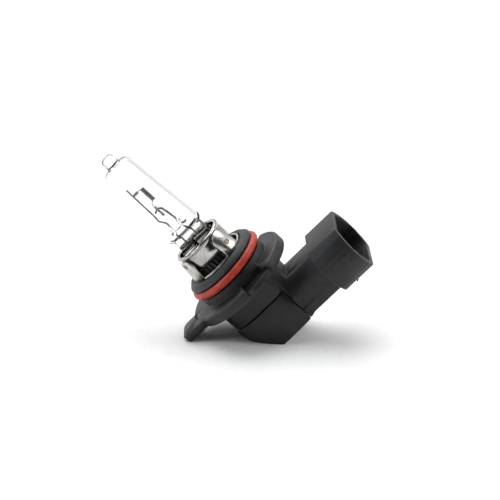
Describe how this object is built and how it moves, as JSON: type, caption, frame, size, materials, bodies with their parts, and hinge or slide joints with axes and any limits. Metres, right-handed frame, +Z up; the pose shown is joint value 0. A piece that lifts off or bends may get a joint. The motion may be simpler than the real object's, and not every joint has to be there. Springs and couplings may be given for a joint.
{
  "type": "halogen headlight bulb",
  "caption": "Halogen headlight bulb with a clear tubular glass, a steel collar, a sealing ring, a keyed moulded flange and a right-angle connector socket, lying on its heel and rear tab.",
  "frame": {"origin": "middle of the part's box seen from above, on the surface that the bulb lies on", "axes": "+Z up, +X towards the connector mouth, +Y to the far side. The lamp axis lies in the XZ plane and leans 46 degrees from +Z towards -X; the socket axis is square to it, towards +X and +Z"},
  "size_m": [0.069, 0.0304, 0.0487],
  "materials": {
    "glass": "clear quartz tube",
    "tungsten": "drawn tungsten wire",
    "molybdenum": "drawn molybdenum wire",
    "steel": "bright stamped steel",
    "contact": "tinned brass strip",
    "silicone": "moulded red silicone",
    "housing_nylon": "moulded black glass-filled nylon",
    "cover_nylon": "moulded black glass-filled nylon"
  },
  "bodies": {
    "root": {"glass_envelope": "glass", "filament": "tungsten", "upper_filament_sleeve": "molybdenum", "lower_filament_sleeve": "molybdenum", "long_support_wire": "molybdenum", "short_support_wire": "molybdenum", "sealing_foil_long": "molybdenum", "sealing_foil_short": "molybdenum", "outer_lead_long": "molybdenum", "outer_lead_short": "molybdenum", "pinch_clamp": "steel", "collar_sleeve": "steel", "base_ring": "steel", "sealing_ring": "silicone", "socket_housing": "housing_nylon", "rear_cover": "cover_nylon", "terminal_near": "contact", "terminal_far": "contact"}
  },
  "joints": []
}
